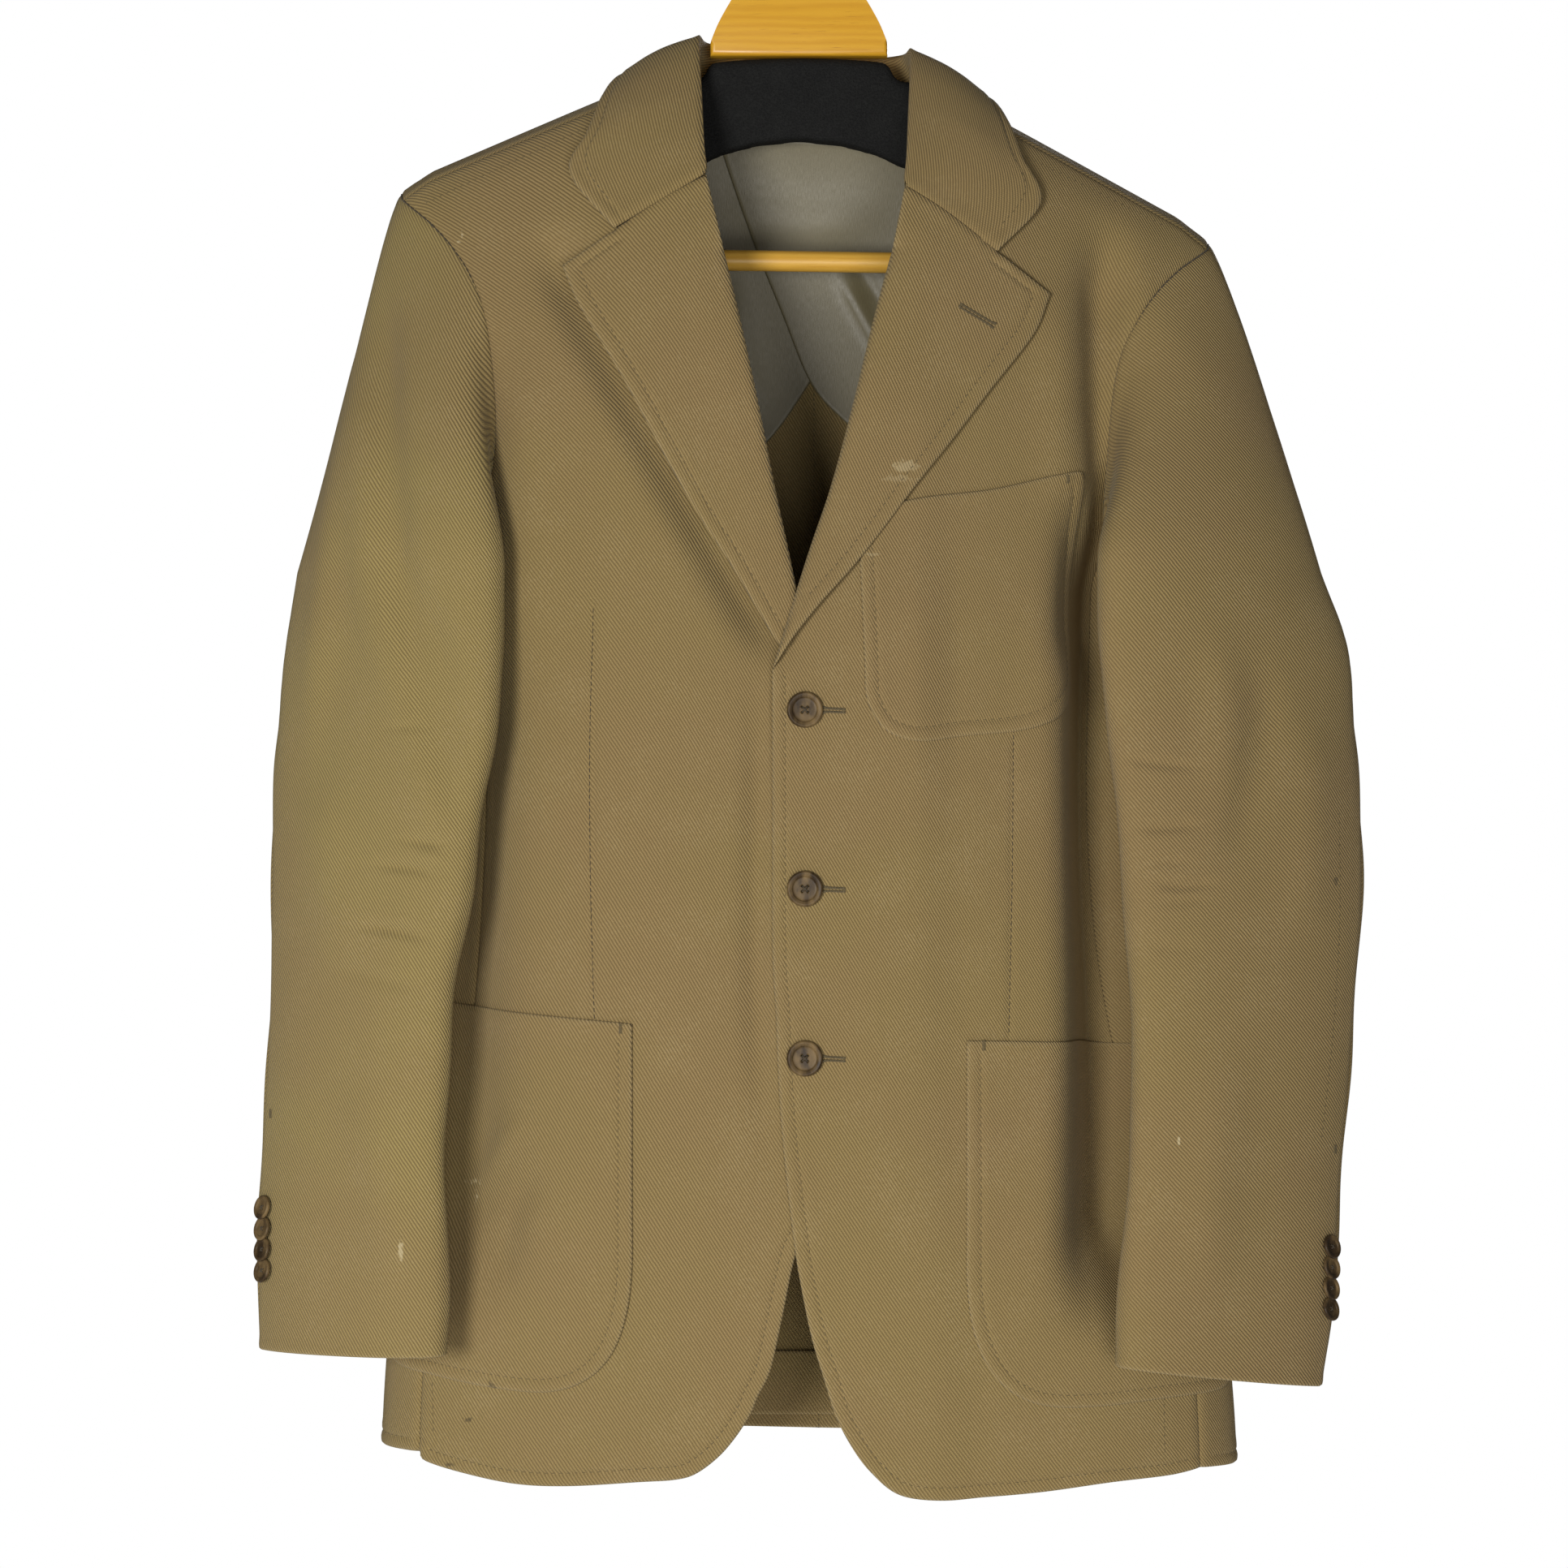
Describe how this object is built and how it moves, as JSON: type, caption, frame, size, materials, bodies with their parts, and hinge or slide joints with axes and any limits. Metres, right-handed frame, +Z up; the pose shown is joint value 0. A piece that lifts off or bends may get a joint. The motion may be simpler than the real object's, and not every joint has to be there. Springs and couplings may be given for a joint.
{
  "type": "single-breasted jacket on a wooden hanger",
  "caption": "Single-breasted jacket with notch lapels, patch pockets and two-piece sleeves, hanging on a wooden hanger with a foam-covered neck and a trouser bar.",
  "frame": {"origin": "inner top of the hanger's hook, where the rail carries it", "axes": "+Z up, -Y to the front of the jacket, +X to the wearer's left"},
  "size_m": [0.6257, 0.1607, 0.9644],
  "materials": {
    "cloth": "olive brown cotton twill",
    "lining": "grey-green satin lining",
    "horn": "brown horn-like buttons",
    "wood": "yellow varnished wood",
    "foam": "black foam cover",
    "steel": "polished steel wire"
  },
  "bodies": {
    "root": {"front_left": "cloth", "front_right": "cloth", "side_body_left": "cloth", "side_body_right": "cloth", "back_left": "cloth", "back_right": "cloth", "top_sleeve_left": "cloth", "top_sleeve_right": "cloth", "under_sleeve_left": "cloth", "under_sleeve_right": "cloth", "collar": "cloth", "collar_stand": "cloth", "lapel_left": "cloth", "lapel_right": "cloth", "hip_pocket_left": "cloth", "hip_pocket_right": "cloth", "chest_pocket": "cloth", "back_hem_facing": "cloth", "half_lining_left": "lining", "half_lining_right": "lining", "front_button_1": "horn", "front_button_2": "horn", "front_button_3": "horn", "cuff_button_left_1": "horn", "cuff_button_left_2": "horn", "cuff_button_left_3": "horn", "cuff_button_left_4": "horn", "cuff_button_right_1": "horn", "cuff_button_right_2": "horn", "cuff_button_right_3": "horn", "cuff_button_right_4": "horn", "hanger_neck": "wood", "trouser_bar": "wood", "hanger_arms": "foam", "hook": "steel"}
  },
  "joints": []
}
